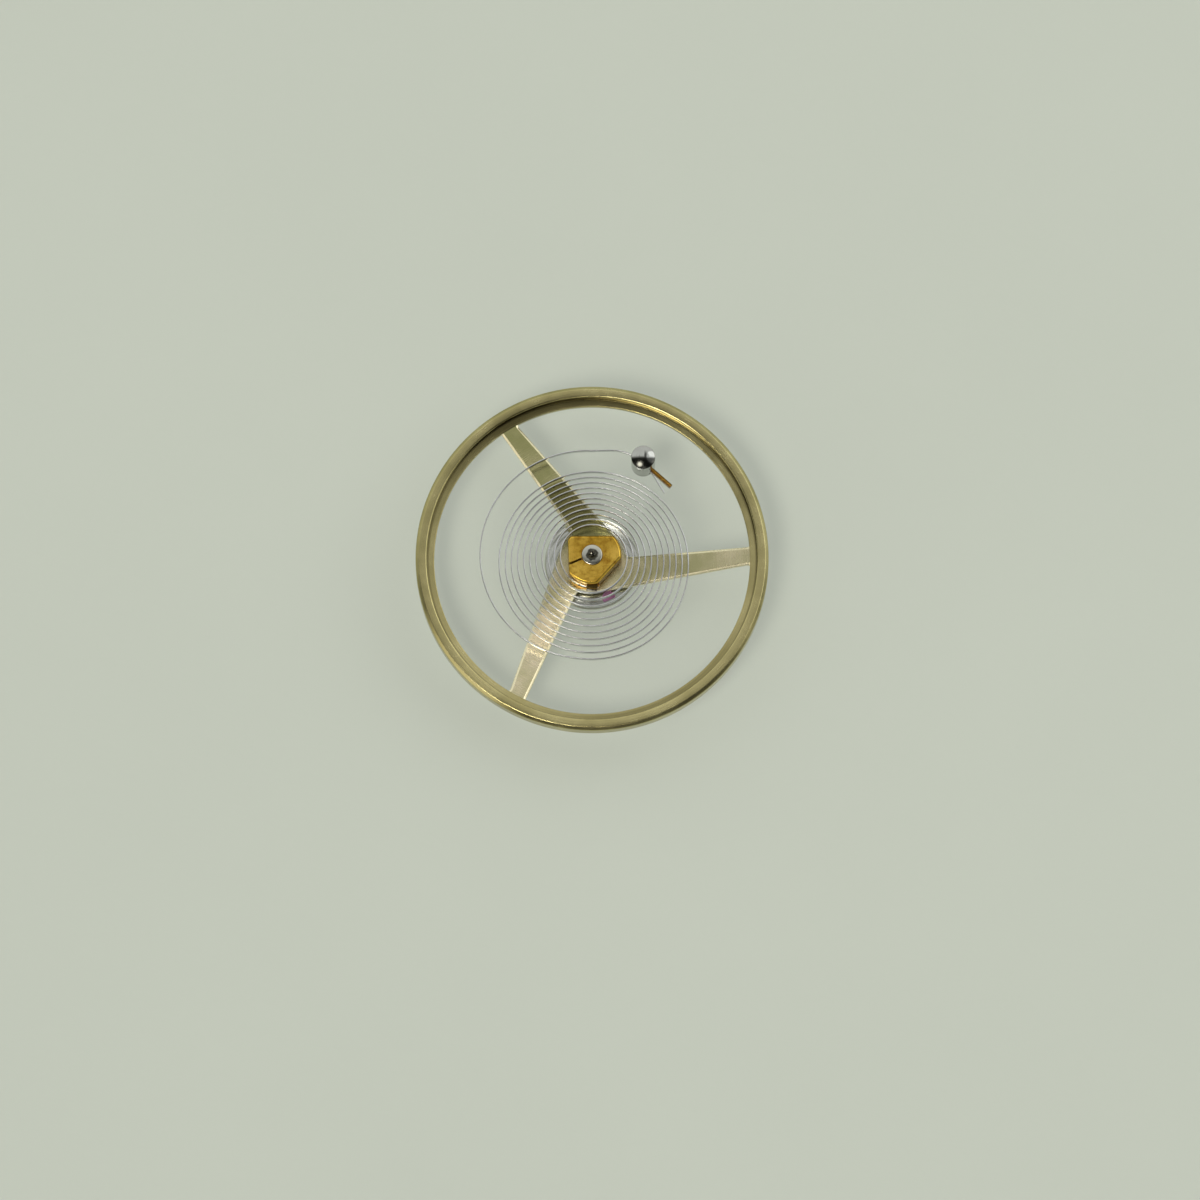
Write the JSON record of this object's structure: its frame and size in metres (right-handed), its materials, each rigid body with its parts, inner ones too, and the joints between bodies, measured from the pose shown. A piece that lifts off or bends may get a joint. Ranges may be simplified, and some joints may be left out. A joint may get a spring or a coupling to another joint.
{
  "type": "watch balance complete",
  "caption": "Three-armed watch balance wheel on its pivoted staff, with double roller, impulse jewel, collet and flat hairspring pinned to a round stud.",
  "frame": {"origin": "tip of the lower pivot, on the axis of the staff", "axes": "+Z along the staff towards the hairspring side; +X and +Y lie in the plane of the wheel, with one arm near +X"},
  "size_m": [0.01, 0.01, 0.0027],
  "materials": {
    "wheel_alloy": "turned and grained",
    "polished_steel": "polished",
    "roller_steel": "polished",
    "ruby": "polished",
    "collet_brass": "turned",
    "pin_brass": "drawn",
    "spring_alloy": "rolled"
  },
  "bodies": {
    "stud": {"stud": "polished_steel", "stud_pin": "pin_brass"},
    "balance": {"balance_wheel": "wheel_alloy", "balance_staff": "polished_steel", "double_roller": "roller_steel", "impulse_jewel": "ruby", "collet": "collet_brass", "collet_pin": "pin_brass", "hairspring": "spring_alloy"}
  },
  "joints": [
    {"name": "balance_swing", "type": "hinge", "parent": "stud", "child": "balance", "pos_m": [0, 0, 0.0015], "axis": [0, 0, 1], "range_deg": [-270, 270], "stiffness_Nm_per_rad": 0.00000037, "deforming": ["hairspring"]}
  ]
}
